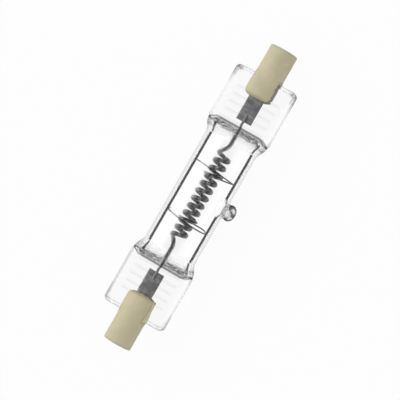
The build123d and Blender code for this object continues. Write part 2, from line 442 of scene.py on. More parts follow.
def foil_finish(tree):
    """Rolled foil: bands across it, and blotches where the quartz bit."""
    bands = tree.noise(520, 3.0, 0.55, stretch=(1.0, 0.22, 1.0))
    blotches = tree.noise(760, 3.0, 0.6)
    fine = tree.noise(4200, 2.0)
    rolled = tree.ramp(bands, (0.32, (0.16, 0.16, 0.163)), (0.5, (0.31, 0.31, 0.316)), (0.68, (0.54, 0.54, 0.55)))
    return {
        "Base Color": tree.blend(tree.ramp(blotches, (0.42, 0.0), (0.62, 0.75)), rolled, (0.2, 0.2, 0.204, 1.0)),
        "Metallic": 1.0,
        "Roughness": tree.ramp(blotches, (0.3, 0.28), (0.7, 0.5)),
        "Normal": tree.bump(bands + fine * 0.25, 0.05),
    }


def lead_finish(tree):
    drawing = tree.noise(3500, 2.0, stretch=(0.15, 1.0, 1.0))
    return {
        "Base Color": tree.ramp(drawing, (0.3, (0.20, 0.20, 0.20)), (0.7, (0.32, 0.32, 0.32))),
        "Metallic": 1.0,
        "Roughness": tree.ramp(drawing, (0.2, 0.28), (0.8, 0.42)),
    }


def nickel_finish(tree):
    wear = tree.noise(1800, 3.0)
    return {
        "Base Color": tree.ramp(wear, (0.3, (0.52, 0.49, 0.43)), (0.7, (0.66, 0.63, 0.57))),
        "Metallic": 1.0,
        "Roughness": tree.ramp(wear, (0.2, 0.24), (0.8, 0.42)),
        "Normal": tree.bump(wear, 0.01),
    }


def ceramic_finish(tree):
    """Fired ceramic: mottled, with a warm blush, specks, a browner inner end and a greyer rim."""
    mottle = tree.noise(260, 4.0, 0.6)
    speck = tree.noise(2600, 2.0)
    grain = tree.noise(6500, 3.0, 0.6)
    blush = tree.noise(330, 2.0, 0.5, stretch=(0.8, 1.0, 1.0))
    body = tree.ramp(mottle, (0.35, (0.575, 0.525, 0.345)), (0.65, (0.65, 0.588, 0.4)))
    body = tree.blend(tree.ramp(blush, (0.45, 0.0), (0.75, 0.5)), body, (0.68, 0.565, 0.4, 1.0))
    specks = tree.ramp(speck, (0.66, 0.0), (0.74, 0.5))
    body = tree.blend(specks, body, (0.50, 0.42, 0.30, 1.0))
    place = tree.along(CAP_END) + (mottle - 0.5) * 0.012
    body = tree.blend(tree.ramp(place, (0.668, 0.6), (0.69, 0.0)), body, (0.36, 0.29, 0.20, 1.0))
    return {
        "Base Color": tree.blend(tree.ramp(place, (0.984, 0.0), (0.995, 0.55)), body, (0.42, 0.44, 0.42, 1.0)),
        "Roughness": tree.ramp(grain, (0.3, 0.72), (0.7, 0.9)),
        "Normal": tree.bump(grain, 0.02, 0.7),
    }


# Its default colours, greyer than the ceramic, serve the right cement: its own colour darkened as painted shade of the
# slot there
def cement_finish(tree, dark=(0.55, 0.525, 0.43), light=(0.66, 0.635, 0.54)):
    """Gritty cement between two colours."""
    grit = tree.noise(2200, 4.0, 0.65)
    return {
        "Base Color": tree.ramp(grit, (0.3, dark), (0.7, light)),
        "Roughness": 0.95,
        "Normal": tree.bump(grit, 0.08),
    }


def warm_cement_finish(tree):
    """Cement that is close to the ceramic's colour."""
    return cement_finish(tree, (0.6, 0.55, 0.38), (0.69, 0.63, 0.45))


QUARTZ = quartz_material("quartz_clear_painted_shade", outer_painted_shade, ((0.46, 0.0), (0.58, 1.0)))
QUARTZ_BORE = quartz_material("quartz_bore_painted_line", wall_shade)
TUNGSTEN = principled("tungsten_wire_painted_light", tungsten_painted_light)
SUPPORT = principled("support_wire_painted_highlights", support_painted_highlights)
FOIL = principled("molybdenum_foil", foil_finish)
LEAD = principled("molybdenum_wire", lead_finish)
NICKEL = principled("nickel_contact", nickel_finish)
CERAMIC = principled("steatite_ceramic", ceramic_finish)
# One cement in two copies: the right one greyer, with painted shade of its slot; the left one close to the ceramic's
# colour
CEMENT = {
    "left": principled("seal_cement_warm", warm_cement_finish),
    "right": principled("seal_cement_grey_painted_shade", cement_finish),
}


def add_piece(name, mesh, replaced, materials=()):
    """Puts a finished mesh in the scene as a piece that stands for CAD nodes."""
    for material in materials:
        mesh.materials.append(material)
    mesh.shade_smooth()
    piece = bpy.data.objects.new(name, mesh)
    bpy.context.scene.collection.objects.link(piece)
    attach(piece, "root")
    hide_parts(*replaced)


def finished_mesh(name, shape):
    """Mesh of a bmesh with its faces turned outward."""
    bmesh.ops.recalc_face_normals(shape, faces=shape.faces)
    mesh = bpy.data.meshes.new(name)
    shape.to_mesh(mesh)
    shape.free()
    return mesh


def smooth_step(share):
    """0 to 1 with a soft start and end."""
    share = np.clip(share, 0.0, 1.0)
    return share * share * (3 - 2 * share)


def ramp_up(value, place, length):
    """0 up to a place, then a soft rise to 1 over a length."""
    return smooth_step((value - place) / length)


def ramp_down(value, place, length):
    """A soft fall from 1 over a length, to 0 from a place on."""
    return smooth_step((place - value) / length)


def bell(value, place, width):
    """1 at a place, with soft sides of a width."""
    return np.exp(-((value - place) / width) ** 2)


def heading(first, second):
    """Unit vector from one point to another."""
    return (second - first) / np.linalg.norm(second - first)


def onward(loop):
    """A closed loop that starts from its second point."""
    return loop[1:] + loop[:1]


def oval_reach(across, up, half_width, half_height, square):
    """Distance from the axis to an oval along unit directions; it is squarer with a power over 2."""
    return ((np.abs(across) / half_width) ** square + (np.abs(up) / half_height) ** square) ** (-1 / square)


def wrinkles(points, size, seed):
    """Uneven heights from -1 to 1 over points, with features of about a size in millimetres."""
    return np.array([noise.noise(Vector(point) / size + Vector((seed, 0, 0))) for point in points])


def plate_reach(across, up, half_width, half_height, corner):
    """Distance from the axis to a rectangle with rounded corners along unit directions."""
    across, up = np.abs(across) + 1e-9, np.abs(up) + 1e-9
    to_face, to_side = half_height / up, half_width / across
    corner_y, corner_z = half_width - corner, half_height - corner
    along = across * corner_y + up * corner_z
    to_corner = along + np.sqrt(np.maximum(along**2 - corner_y**2 - corner_z**2 + corner**2, 0))
    reach = np.where(to_face * across <= corner_y, to_face, to_corner)
    return np.where(to_side * up <= corner_z, to_side, reach)


def soft_larger(first, second, blend):
    """The larger of two lengths, with a change-over that is rounded where they are within a blend length."""
    near = np.maximum(blend - np.abs(first - second), 0) / blend
    return np.maximum(first, second) + near**3 * blend / 6


def inset(depth, radius):
    """How far a rounded edge stands back at a depth from its end."""
    depth = min(max(depth, 0.0), radius)
    return radius - sqrt(radius**2 - (radius - depth) ** 2)


def pinch_directions(count):
    """Unit directions that spread points evenly round a pinch, closer together on its edges."""
    corner_y, corner_z = HALF_WIDTH - EDGE_RADIUS, HALF_THICKNESS - EDGE_RADIUS
    quarter = count // 4
    on_arc, on_side = quarter // 3, quarter // 8
    on_face = quarter - on_arc - on_side
    side = [(HALF_WIDTH, corner_z * step / on_side) for step in range(on_side)]
    arc = [(corner_y + EDGE_RADIUS * cos(turn), corner_z + EDGE_RADIUS * sin(turn))
           for turn in (pi / 2 * step / on_arc for step in range(on_arc))]
    face = [(corner_y * (1 - step / on_face), HALF_THICKNESS) for step in range(on_face)]
    first = [atan2(z, y) for y, z in side + arc + face]
    angles = first + [pi - turn for turn in reversed(first[1:] + [pi / 2])]
    angles = angles + [turn + pi for turn in angles]
    return np.array(angles)


ROUND_ANGLES = np.arange(RING_POINTS) * 2 * pi / RING_POINTS
PINCH_ANGLES = pinch_directions(RING_POINTS)


def shoulder_height(distance):
    """Half height of the tube's outside, which is pressed down to the pinch over the shoulder."""
    share = np.clip((distance - HALF_BODY) / SHOULDER, 0.0, SHOULDER_OVERRUN)
    return HALF_THICKNESS + (TUBE_RADIUS - HALF_THICKNESS) * np.cos(share * pi / 2)


def cavity_profile():
    """Half heights of the hollow, which keeps the wall's thickness under the shoulder and then closes."""
    along = np.linspace(HALF_BODY - 2, CREASE, 200)
    height = shoulder_height(along)
    fall = -np.gradient(height, along)
    length = np.hypot(1, fall)
    wall = TUBE_RADIUS - BORE_RADIUS
    return along - wall * fall / length, height - wall / length


CAVITY_PROFILE = cavity_profile()


def shoulder_painted_shade(distance, ring):
    """Painted shade of the pressed shoulder: a grey line along the crease, streaks beside it and its flanks."""
    side = np.abs(ring[:, 1])
    line = CREASE + CREASE_SHIFT - CREASE_BEND * ramp_up(side, *CREASE_TURN)
    crease = CREASE_GREY * bell(distance, line, CREASE_WIDTH)
    if not SHOULDER_SPAN[0] < distance < SHOULDER_SPAN[1]:
        return crease
    streaks = wrinkles(ring * (1.0, 1.0, 0.3) + np.outer(side, (0.6, 0, 0)), STREAK_SIZE, 8.0)
    lobe = (0.5 + 0.5 * ramp_up(side, *LOBE_INNER)) * ramp_down(side, *LOBE_OUTER)
    band = ramp_up(distance, *BAND_INNER) * ramp_down(distance, *BAND_OUTER)
    flank = FLANK_GREY * ramp_up(side, *FLANK_SIDE) * bell(distance, *FLANK_PLACE)
    grey = (SHOULDER_GREY * lobe * band + flank) * np.clip(0.62 + 1.3 * streaks, 0, 1.2)
    return np.minimum(crease + grey, 1.0)


def end_painted_shade(distance, ring):
    """Painted shade of the pinch's cut end, an uneven line inside the rim and its corners, and of one edge of the left
    pinch.
    """
    sign = 1 if ring[0, 0] > 0 else -1
    back = PINCH_END - distance
    inwards = HALF_WIDTH - np.abs(ring[:, 1])
    edge = EDGE_GREY * (sign < 0) * (ring[:, 1] > 0) * ramp_down(inwards, *EDGE_INSET)
    edge = edge * ramp_up(distance, *EDGE_START) * smooth_step(back)
    if back > END_REACH:
        return edge
    uneven = np.clip(0.55 + 1.6 * wrinkles(ring * (0.5, 1, 1), 0.9, 21.0), 0, 1)
    line = bell(back, *END_LINE) + 0.6 * bell(back, *END_RIM)
    corner = bell(back, *CORNER_BACK) * bell(inwards, *CORNER_INSET)
    stripe = STRIPE_GREY * bell(inwards, *STRIPE_INSET) * ramp_up(back, *STRIPE_START) * ramp_down(back, *STRIPE_END)
    corners = CORNER_GREY[sign] * (corner + stripe)
    return np.maximum(edge, END_GREY * np.minimum(uneven * line * 0.5 + corners, 1))


def outer_ring(x):
    """Outline of the quartz at a place along the lamp, tube, shoulder or ribbed pinch, with its marks of painted shade
    and of calm.
    """
    distance = abs(x)
    angles = ROUND_ANGLES + (PINCH_ANGLES - ROUND_ANGLES) * ramp_up(distance, FLARE_START, FLARE_SPREAD)
    across, up = np.cos(angles), np.sin(angles)
    share = max((distance - HALF_BODY) / SHOULDER, 0.0)
    flare = min(max((distance - FLARE_START) / (CREASE - FLARE_START), 0.0), 1.0)
    reach = np.full(RING_POINTS, TUBE_RADIUS)
    if flare > 0:
        width = TUBE_RADIUS + (SHOULDER_WIDTH - TUBE_RADIUS) * (flare + sin(flare * pi / 2)) / 2
        square = 2 + SHOULDER_SQUARE * float(smooth_step(share))
        reach = oval_reach(across, up, width, shoulder_height(distance), square)
    if distance > PINCH_START:
        start, end = distance - PINCH_START, PINCH_END - distance
        back = inset(start, ROOT_CORNER) + inset(end, END_CORNER)
        rim = inset(start, EDGE_RADIUS) + inset(end, EDGE_RADIUS)
        half_height = HALF_THICKNESS - rim
        plate = plate_reach(across, up, HALF_WIDTH - back, half_height, min(EDGE_RADIUS, 0.98 * half_height))
        reach = soft_larger(reach, plate, CREASE_BLEND) if share < SHOULDER_OVERRUN else plate
    ring = np.stack([np.full(RING_POINTS, x), np.clip(reach * across, -HALF_WIDTH, HALF_WIDTH), reach * up], axis=1)
    side = np.abs(ring[:, 1])
    press = shoulder_painted_shade(distance, ring)
    rib_share = sum(0.5 + 0.5 * cos(pi * min(abs(distance - rib) / RIB_HALF_WIDTH, 1)) for rib in RIBS)
    if rib_share > 0:
        on_face = ramp_down(side, *RIB_END) * (np.abs(ring[:, 2]) > HALF_THICKNESS - 0.3)
        ring[:, 2] += np.sign(ring[:, 2]) * RIB_HEIGHT * rib_share * on_face
        # Painted shade along the ribs
        press += RIB_GREY * rib_share * on_face
    at_edge = ramp_up(side, *EDGE_CALM) * ramp_up(distance, *EDGE_CALM_START)
    at_shoulder = ramp_up(distance, *SHOULDER_CALM) * ramp_down(distance, *SHOULDER_CALM_END)
    calm = np.maximum(at_edge, max(at_shoulder, ramp_up(distance, *END_CALM)))
    return ring, np.maximum(press, end_painted_shade(distance, ring)), calm


def bore_ring(x):
    """Outline of the hollow inside the quartz, with its marks."""
    distance = abs(x)
    across, up = np.cos(ROUND_ANGLES), np.sin(ROUND_ANGLES)
    flare = max((distance - FLARE_START) / (CAVITY_CLOSE - FLARE_START), 0.0)
    closing = min(max((distance - CAVITY_CLOSE) / (CAVITY_END - CAVITY_CLOSE), 0.0), 1.0)
    opened = 1 - closing**3
    width = BORE_RADIUS + CAVITY_FLARE * min(flare, CAVITY_FLARE_LIMIT) ** CAVITY_FLARE_POWER
    width -= CAVITY_NARROWING * closing**3
    height = float(np.interp(distance, *CAVITY_PROFILE)) * max(opened, CAVITY_LEAST)
    ring = np.stack([np.full(RING_POINTS, x), width * across, height * up], axis=1)
    if closing > 0:
        ring[:, 2] += CAVITY_WRINKLE * closing * opened * wrinkles(ring, 0.5, 3.0) * np.sign(ring[:, 2])
    calm = ramp_up(distance, *SHOULDER_CALM)
    at_side = ramp_up(np.abs(across), *HOLLOW_SIDE) * opened
    # Over the shoulder the hollow's shade mark takes the painted dark line away, but not at its sides
    return ring, HOLLOW_GREY * calm * (1 - at_side), np.full(RING_POINTS, calm)


def tip_patch(rim, radius, circle, profile):
    """Rings from a square opening in the tube's wall to the point of a nub that stands on it."""
    planar_x, planar_z = rim[:, 0] - TIP_OFFSET, radius * np.arctan2(rim[:, 2], -rim[:, 1])
    turn, span = np.arctan2(planar_z, planar_x), np.hypot(planar_x, planar_z)

    def on_wall(reach):
        angle = reach * np.sin(turn) / radius
        return np.stack([reach * np.cos(turn), -radius * np.cos(angle), radius * np.sin(angle)], axis=1)

    rings = [on_wall(span + (circle - span) * smooth_step(step / PATCH_RINGS)) for step in range(1, PATCH_RINGS + 1)]
    risen = WALL_SHARE * (len(profile) - 1)
    for index, (reach, height) in enumerate(profile[1:], 1):
        wall = on_wall(reach)
        nub = np.stack([reach * np.cos(turn), np.full(len(turn), -radius), reach * np.sin(turn)], axis=1)
        rings.append(wall + (nub - wall) * smooth_step(index / risen) - (0, height, 0))
    return [ring + (TIP_OFFSET, 0, 0) for ring in rings]


def smooth_profile(points, count):
    """Points along a smooth curve through a few (reach, height) places."""
    curve = bpy.data.curves.new("profile", "CURVE")
    curve.dimensions = "3D"
    spline = curve.splines.new("BEZIER")
    spline.bezier_points.add(len(points) - 1)
    for bezier, (reach, height) in zip(spline.bezier_points, points):
        bezier.co = (reach, height, 0)
        bezier.handle_left_type = bezier.handle_right_type = "AUTO"
    spline.resolution_u = 24
    holder = bpy.data.objects.new("profile", curve)
    mesh = bpy.data.meshes.new_from_object(holder)
    line = np.array([vertex.co[:2] for vertex in mesh.vertices])
    length = np.concatenate([[0], np.cumsum(np.hypot(*np.diff(line, axis=0).T))])
    places = np.linspace(0, length[-1], count)
    bpy.data.objects.remove(holder)
    bpy.data.meshes.remove(mesh)
    return list(zip(np.interp(places, length, line[:, 0]), np.interp(places, length, line[:, 1])))


def nub_marks(points, radius, inwards):
    """Painted shade and calm of the sealed tip: grey drops and folds of the melted end, and a rim of uneven painted
    darkness.
    """
    height = np.hypot(points[:, 1], points[:, 2]) - radius
    if inwards:
        return 0.6 * ramp_up(height, 0.5, 0.5), np.zeros(len(points))
    along = points[:, 0] - NUB_MIDDLE[0]
    out = -cos(VIEW_ROLL) * points[:, 1] - sin(VIEW_ROLL) * points[:, 2] - NUB_MIDDLE[1]
    folds = sum(grey * bell(along, place, length) * bell(out, reach, width)
                for place, reach, length, width, grey in NUB_FOLD_SHADE)
    across_share, out_share = along / NUB_HALF_SIZE[0], out / NUB_HALF_SIZE[1]
    edge, turn = np.hypot(across_share, out_share), np.arctan2(across_share, out_share)
    uneven = 0.3 + 0.7 * bell(turn, 1.1, 0.6) + 0.65 * bell(turn, -1.15, 0.5)
    press = 0.25 + 0.4 * wrinkles(points, 0.5, 5.0) + uneven * bell(edge, 0.9, 0.1)
    press = folds + np.clip(press, 0, 1) * ramp_up(height, 0.2, 0.5)
    return np.clip(press, 0, 1), NUB_CALM * ramp_up(height, 0, 0.4)


def quartz_skin(stations, ring_at, radius, outline, outline_rings, patch_half, inwards):
    """One closed skin of the quartz: rings along the lamp, closed ends and a nub at mid-length."""
    rings, shade_marks, calms = zip(*(ring_at(x) for x in stations))
    points, faces = list(np.concatenate(rings)), []
    index = np.arange(len(points)).reshape(len(rings), RING_POINTS)
    nub = slice(len(points), None)
    middle, half = int(np.argmin(np.abs(np.array(stations) - TIP_OFFSET))), RING_POINTS // 2
    low, high = middle - patch_half, middle + patch_half
    first, last = half - patch_half, half + patch_half
    for row in range(len(rings) - 1):
        for column in range(RING_POINTS):
            if low <= row < high and first <= column < last:
                continue
            after = (column + 1) % RING_POINTS
            faces.append((index[row, column], index[row, after], index[row + 1, after], index[row + 1, column]))
    for row, turned in ((0, True), (len(rings) - 1, False)):
        for column in range(half):
            quad = [index[row, column], index[row, column + 1],
                    index[row, RING_POINTS - 1 - column], index[row, -column % RING_POINTS]]
            quad = list(dict.fromkeys(quad))
            if len(quad) > 2:
                faces.append(tuple(quad[::-1] if turned else quad))

    loop = [index[low, column] for column in range(first, last)]
    loop += [index[row, last] for row in range(low, high)]
    loop += [index[high, column] for column in range(last, first, -1)]
    loop += [index[row, first] for row in range(high, low, -1)]
    rim = np.array([points[vertex] for vertex in loop])
    profile = smooth_profile(outline, outline_rings)
    for ring in tip_patch(rim, radius, outline[0][0], profile[:-1]):
        inner = list(range(len(points), len(points) + len(loop)))
        points.extend(ring)
        faces += zip(loop, onward(loop), onward(inner), inner)
        loop = inner
    faces += [(spot, after, len(points)) for spot, after in zip(loop, onward(loop))]
    points.append(np.array([TIP_OFFSET, -radius - profile[-1][1], 0]))
    if inwards:
        faces = [face[::-1] for face in faces]
    marks = np.zeros((2, len(points)))
    marks[:, :nub.start] = np.concatenate(shade_marks), np.concatenate(calms)
    marks[:, nub] = nub_marks(np.array(points[nub]), radius, inwards)
    return np.array(points), faces, marks


def stations_to(marks):
    """Places along the lamp, mirrored about the exhaust tip's, from (end, step) marks."""
    places, here = [], 0.0
    for end, step in marks:
        count = max(round((end - here) / step), 1)
        places += [here + (end - here) * (part + 1) / count for part in range(count)]
        here = end
    return [-place for place in reversed(places)] + [0.0] + places


def skin_stations(radius, patch_half, marks):
    """Places of a skin's rings: square cells round the exhaust tip, then (end, step) marks."""
    cell = 2 * pi * radius / RING_POINTS
    places = stations_to([(patch_half * cell, cell), (FLARE_START, TUBE_STEP), *marks])
    return [x + TIP_OFFSET * max(1 - abs(x) / TIP_SHIFT_REACH, 0) for x in places]


def quartz_shell():
    """The whole envelope as outer and inner skins."""
    ends = [PINCH_END - END_CORNER + END_CORNER * sin(pi / 2 * step / END_STEPS) for step in range(1, END_STEPS + 1)]
    outer = [-place for place in reversed(ends)] + skin_stations(TUBE_RADIUS, TIP_CELLS, PINCH_STEPS) + ends
    skin, faces, marks = quartz_skin(outer, outer_ring, TUBE_RADIUS, TIP_OUTLINE, TIP_RINGS, TIP_CELLS, False)
    inner = skin_stations(BORE_RADIUS, FUNNEL_CELLS, CAVITY_STEPS)
    bore, bore_faces, bore_marks = quartz_skin(inner, bore_ring, BORE_RADIUS, FUNNEL_OUTLINE, FUNNEL_RINGS,
                                               FUNNEL_CELLS, True)
    mesh = bpy.data.meshes.new("quartz_shell")
    shifted = [tuple(int(vertex) + len(skin) for vertex in face) for face in bore_faces]
    mesh.from_pydata((np.concatenate([skin, bore]) * MM).tolist(), [],
                     [tuple(int(vertex) for vertex in face) for face in faces] + shifted)
    mesh.polygons.foreach_set("material_index", [0] * len(faces) + [1] * len(shifted))
    # Painted shade and calm of both skins, kept as point attributes
    for name, values, bore_values in zip(("press", "calm"), marks, bore_marks):
        mesh.attributes.new(name, "FLOAT", "POINT").data.foreach_set("value", np.concatenate([values, bore_values]))
    return mesh


add_piece("quartz_shell", quartz_shell(), ["quartz_envelope"], [QUARTZ, QUARTZ_BORE])


def wound_wire_tree():
    """Geometry Nodes group: a wire that winds round a path, or lies on it where the winding radius is 0."""
    group = bpy.data.node_groups.new("wound_wire", "GeometryNodeTree")
    group.interface.new_socket("Geometry", in_out="OUTPUT", socket_type="NodeSocketGeometry")
    inputs = {}
    for name, kind in (("Path", "Geometry"), ("Wire radius", "Float"), ("Winding radius", "Float"),
                       ("Winding pitch", "Float"), ("Step", "Float"), ("Wire sides", "Int"), ("Finish", "Material")):
        inputs[name] = group.interface.new_socket(name, in_out="INPUT", socket_type=f"NodeSocket{kind}").identifier
    tree = Tree(group)
    source = tree.nodes.new("NodeGroupInput")
    given = {name: Socket(tree, source.outputs[name]) for name in inputs}
    line = tree.node("GeometryNodeMeshToCurve", None, {"Mesh": given["Path"]})
    line = tree.node("GeometryNodeResampleCurve", {"mode": "LENGTH"}, {"Curve": line, "Length": given["Step"]})
    along = tree.node("GeometryNodeSplineParameter", output="Length")
    turn = along * (2 * pi) / given["Winding pitch"]
    normal = tree.node("GeometryNodeInputNormal")
    tangent = tree.node("GeometryNodeInputTangent")
    side = tree.node("ShaderNodeVectorMath", {"operation": "CROSS_PRODUCT"}, {0: tangent, 1: normal})
    parts = []
    for direction, operation in ((normal, "COSINE"), (side, "SINE")):
        amount = given["Winding radius"] * tree.node("ShaderNodeMath", {"operation": operation}, {0: turn})
        parts.append(tree.node("ShaderNodeVectorMath", {"operation": "SCALE"}, {0: direction, "Scale": amount}))
    offset = tree.node("ShaderNodeVectorMath", None, dict(enumerate(parts)))
    line = tree.node("GeometryNodeSetPosition", None, {"Geometry": line, "Offset": offset})
    section = tree.node("GeometryNodeCurvePrimitiveCircle", None, {
        "Resolution": given["Wire sides"], "Radius": given["Wire radius"],
    })
    wire = tree.node("GeometryNodeCurveToMesh", None, {"Curve": line, "Profile Curve": section, "Fill Caps": True})
    wire = tree.node("GeometryNodeSetMaterial", None, {"Geometry": wire, "Material": given["Finish"]})
    tree.node("NodeGroupOutput", None, {"Geometry": wire})
    return group, inputs


WOUND_WIRE, WOUND_WIRE_INPUTS = wound_wire_tree()


def wire_mesh(name, path, **sizes):
    """A wire along a path of points in millimetres, made by the wound_wire group."""
    line = bpy.data.meshes.new(name)
    line.from_pydata((np.array(path) * MM).tolist(), [(spot, spot + 1) for spot in range(len(path) - 1)], [])
    holder = bpy.data.objects.new(name, line)
    bpy.context.scene.collection.objects.link(holder)
    modifier = holder.modifiers.new("wound_wire", "NODES")
    modifier.node_group = WOUND_WIRE
    for socket, value in sizes.items():
        modifier[WOUND_WIRE_INPUTS[socket.replace("_", " ")]] = value
    holder.update_tag()
    depsgraph = bpy.context.evaluated_depsgraph_get()
    mesh = bpy.data.meshes.new_from_object(holder.evaluated_get(depsgraph))
    bpy.data.objects.remove(holder)
    return mesh


def strand(turn, radius=COIL_RADIUS):
    """Place on the coil, by turns from its left end; the turns are a little slack at mid-length."""
    start = COIL_OFFSET - COIL_TURNS * COIL_PITCH / 2
    share = min(max(turn / COIL_TURNS, 0), 1)
    x = start + COIL_PITCH * turn - COIL_SLACK * sin(pi * share)
    return np.array([x, radius * cos(2 * pi * turn), radius * sin(2 * pi * turn)])


def hermite(start, end, start_slope, end_slope, count):
    """Smooth curve between two points with given slopes."""
    t = np.linspace(0, 1, count)[:, None]
    return ((2 * t**3 - 3 * t**2 + 1) * start + (t**3 - 2 * t**2 + t) * start_slope
            + (3 * t**2 - 2 * t**3) * end + (t**3 - t**2) * end_slope)


def filament_path():
    """The coil with a leg at each end on the lamp's axis."""
    turns = np.array([strand(turn) for turn in np.linspace(0, COIL_TURNS, COIL_TURNS * COIL_STEPS + 1)])
    along = np.array([LEG_PULL, 0.0, 0.0])
    left_leg = np.array([turns[0][0] - LEG_BEND, 0, 0])
    right_leg = np.array([turns[-1][0] + LEG_BEND, 0, 0])
    into, out_of = heading(turns[0], turns[1]) * LEG_PULL, heading(turns[-2], turns[-1]) * LEG_PULL
    return np.concatenate([
        [[-LEG_END, 0, 0]],
        hermite(left_leg, turns[0], along, into, LEG_STEPS)[:-1],
        turns,
        hermite(turns[-1], right_leg, out_of, along, LEG_STEPS)[1:],
        [[LEG_END, 0, 0]],
    ])


add_piece("tungsten_coil", wire_mesh(
    "tungsten_coil", filament_path(), Wire_radius=PRIMARY_WIRE * MM, Winding_radius=PRIMARY_RADIUS * MM,
    Winding_pitch=PRIMARY_PITCH * MM, Step=PRIMARY_PITCH / 12 * MM, Wire_sides=6, Finish=TUNGSTEN,
), ["filament"])


def support_path(wrap_turn, ring_place, lean_y, lean_z, ring_end):
    """Arc against the bore, a spoke, and a turn on the coil."""
    center = strand(wrap_turn + ring_place)[0]
    angles = np.radians(np.linspace(RING_START, ring_end, RING_STEPS))
    lean = RING_RADIUS * (lean_y * np.cos(angles) + lean_z * np.sin(angles))
    arc = np.stack([center + lean, RING_RADIUS * np.cos(angles), RING_RADIUS * np.sin(angles)], axis=1)
    turns = np.linspace(wrap_turn, wrap_turn + WRAP_TURNS, WRAP_STEPS)
    wrap = np.array([strand(turn, WRAP_RADIUS) for turn in turns])
    wrap[:, 0] += WRAP_LEAD * np.linspace(1, 0, WRAP_STEPS) ** 2
    out_of, into = heading(arc[-2], arc[-1]) * SPOKE_PULL, heading(wrap[0], wrap[1]) * SPOKE_PULL
    spoke = hermite(arc[-1], wrap[0], out_of, into, SPOKE_STEPS)
    return np.concatenate([arc, spoke[1:-1], wrap])


for side, place in SUPPORTS.items():
    add_piece(f"{side}_support_wire", wire_mesh(
        f"{side}_support_wire", support_path(*place), Wire_radius=SUPPORT_WIRE * MM, Winding_radius=0.0,
        Winding_pitch=1.0, Step=SUPPORT_STEP * MM, Wire_sides=14, Finish=SUPPORT,
    ), [f"{side}_support"])


def lathe(profile):
    """Closed mesh turned about the lamp's axis from (place, radius) points that start and end on it."""
    shape = bmesh.new()
    rings = []
    for place, radius in profile:
        if radius == 0:
            rings.append([shape.verts.new((place * MM, 0, 0))])
            continue
        rings.append([shape.verts.new((place * MM, radius * MM * cos(turn), radius * MM * sin(turn)))
                      for turn in (2 * pi * step / LATHE_STEPS for step in range(LATHE_STEPS))])
    for first, second in zip(rings, rings[1:]):
        for step in range(LATHE_STEPS):
            after = (step + 1) % LATHE_STEPS
            corners = [first[step % len(first)], first[after % len(first)],
                       second[after % len(second)], second[step % len(second)]]
            shape.faces.new(list(dict.fromkeys(corners)))
    return finished_mesh("turned", shape)


def quarter(place, radius, size, start):
    """Points of a quarter round about a centre, from a heading on."""
    return [(place + size * cos(turn), radius + size * sin(turn))
            for turn in (start - pi / 2 * step / ROUND_STEPS for step in range(ROUND_STEPS + 1))]


def cap_side():
    """Outline of the cap's side, from its rounded inner end to the straight outer part."""
    start = CAP_START + PRONG_LENGTH
    flank = [(start + FLANK_LENGTH * step / FLANK_STEPS,
              PRONG_RADIUS + (CAP_RADIUS - PRONG_RADIUS) * float(smooth_step(step / FLANK_STEPS)))
             for step in range(FLANK_STEPS + 1)]
    return quarter(CAP_START + PRONG_CORNER, PRONG_RADIUS - PRONG_CORNER, PRONG_CORNER, pi) + flank


def ceramic_cap(sign):
    """Fired ceramic cap: a turned body with a slot that straddles the pinch, and softened edges."""
    profile = [(CAP_START, 0)] + cap_side()
    profile += quarter(CAP_END - RIM_RADIUS, CAP_RADIUS - RIM_RADIUS, RIM_RADIUS, pi / 2)
    profile += [(CAP_END, RECESS_RADIUS), (RECESS_FLOOR, RECESS_RADIUS), (RECESS_FLOOR, SEAT_RADIUS),
                (SEAT_FLOOR, SEAT_RADIUS), (SEAT_FLOOR, SHANK_RADIUS), (SLOT_END - 1, SHANK_RADIUS), (SLOT_END - 1, 0)]
    profile = [(sign * place, radius) for place, radius in profile]
    slot = slab("DIFFERENCE", sign * SLOT_END, HALF_SLOT)
    return carved("ceramic_cap", lathe(profile), [slot], CAP_VOXEL, CAP_SOFTEN)


def slab(operation, end, half_height):
    """A cut by a wide flat box from mid-length to a place along the lamp."""
    start, end = sorted((0, end))
    return operation, (start, -BESIDE, -half_height), (end, BESIDE, half_height)


def box_mesh(low, high):
    """A box between two corners, in millimetres."""
    size, middle = np.subtract(high, low) * MM, np.add(high, low) / 2 * MM
    shape = bmesh.new()
    bmesh.ops.create_cube(shape, size=1.0, matrix=Matrix.Translation(middle) @ Matrix.Diagonal((*size, 1)))
    return finished_mesh("cutter", shape)


def carved(name, mesh, cuts, voxel, soften):
    """A body cut by boxes, then given an even skin and softened edges."""
    holder = bpy.data.objects.new(name, mesh)
    bpy.context.scene.collection.objects.link(holder)
    cutters = []
    for operation, low, high in cuts:
        cutter = bpy.data.objects.new("cutter", box_mesh(low, high))
        bpy.context.scene.collection.objects.link(cutter)
        cutters.append(cutter)
        cut = holder.modifiers.new("cut", "BOOLEAN")
        cut.operation, cut.object, cut.solver = operation, cutter, "EXACT"
    remesh = holder.modifiers.new("skin", "REMESH")
    remesh.mode, remesh.voxel_size = "VOXEL", voxel * MM
    smooth = holder.modifiers.new("soften", "SMOOTH")
    smooth.factor, smooth.iterations = 0.5, soften
    finished = bpy.data.meshes.new_from_object(holder.evaluated_get(bpy.context.evaluated_depsgraph_get()))
    for spent in [holder] + cutters:
        bpy.data.objects.remove(spent)
    finished.materials.clear()
    return finished


